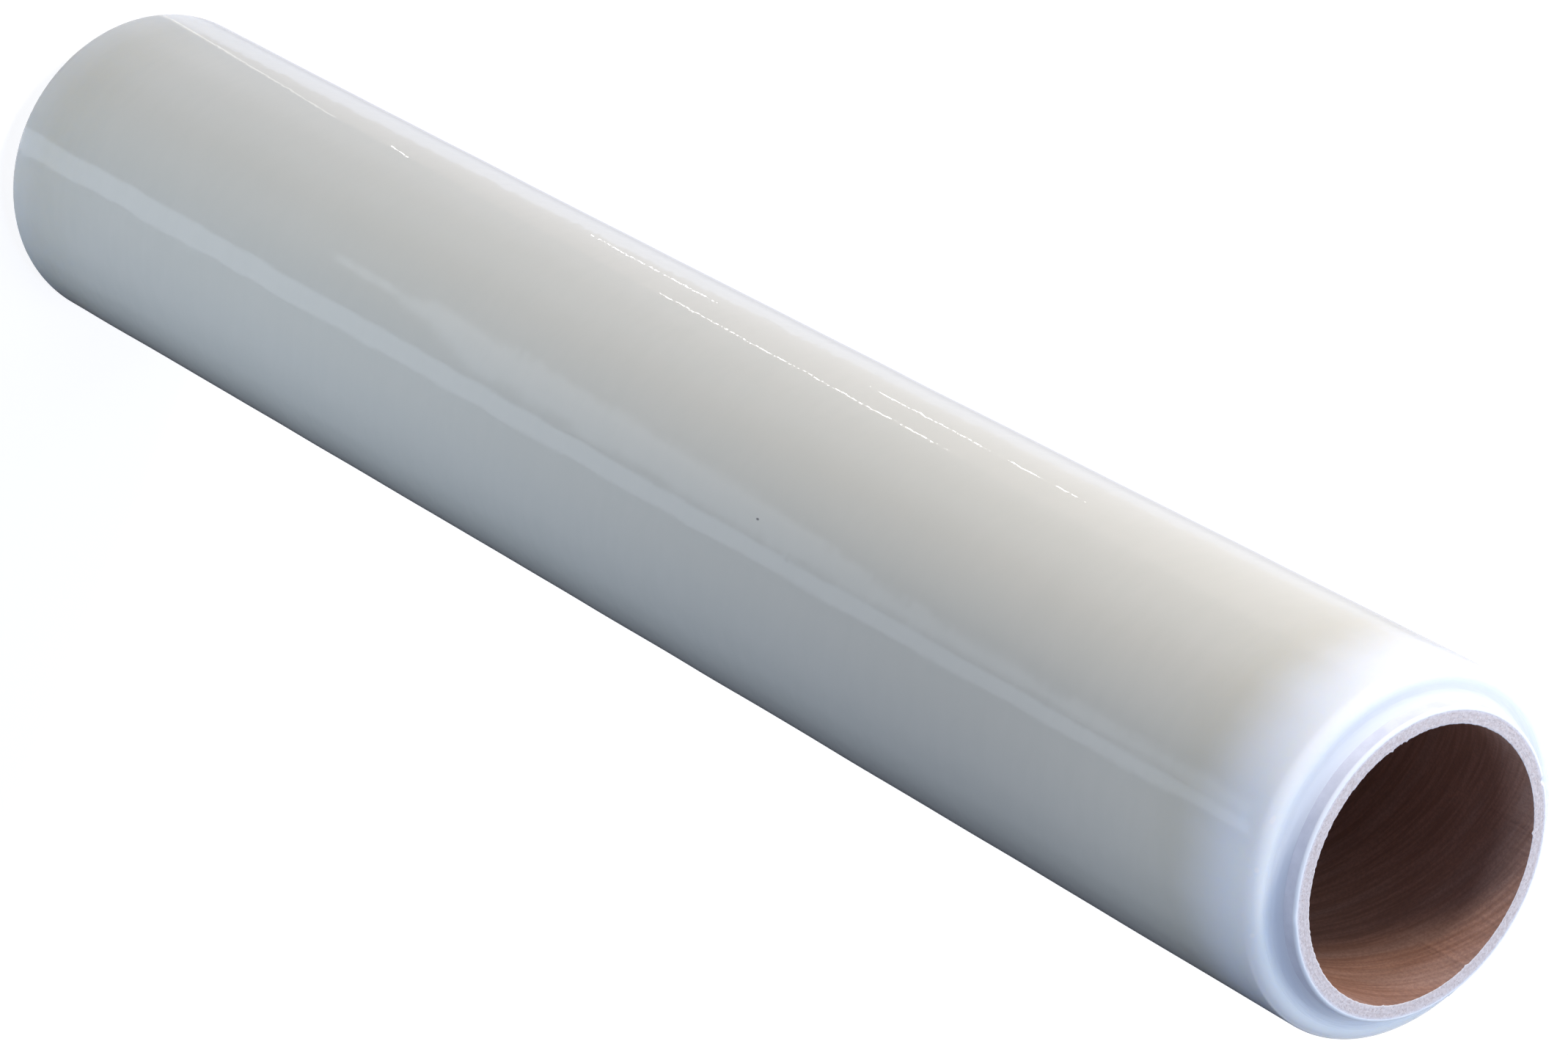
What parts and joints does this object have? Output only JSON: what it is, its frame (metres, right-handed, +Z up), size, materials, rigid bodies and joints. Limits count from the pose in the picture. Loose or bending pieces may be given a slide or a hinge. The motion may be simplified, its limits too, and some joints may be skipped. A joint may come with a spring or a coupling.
{
  "type": "roll of plastic sheeting",
  "caption": "Long sheet of milky plastic wound tightly on a cardboard core that stands a little proud at both ends, open through the middle.",
  "frame": {"origin": "centre of the core's lower end face, on which the roll stands", "axes": "+Z up along the roll's axis; the roll is round about Z"},
  "size_m": [0.103, 0.1032, 0.623],
  "materials": {
    "core_board": "matte, fibrous spiral-wound paper board",
    "sheeting": "glossy, milky where the edges of many turns show"
  },
  "bodies": {
    "root": {"core_tube": "core_board", "wound_sheeting": "sheeting"}
  },
  "joints": []
}
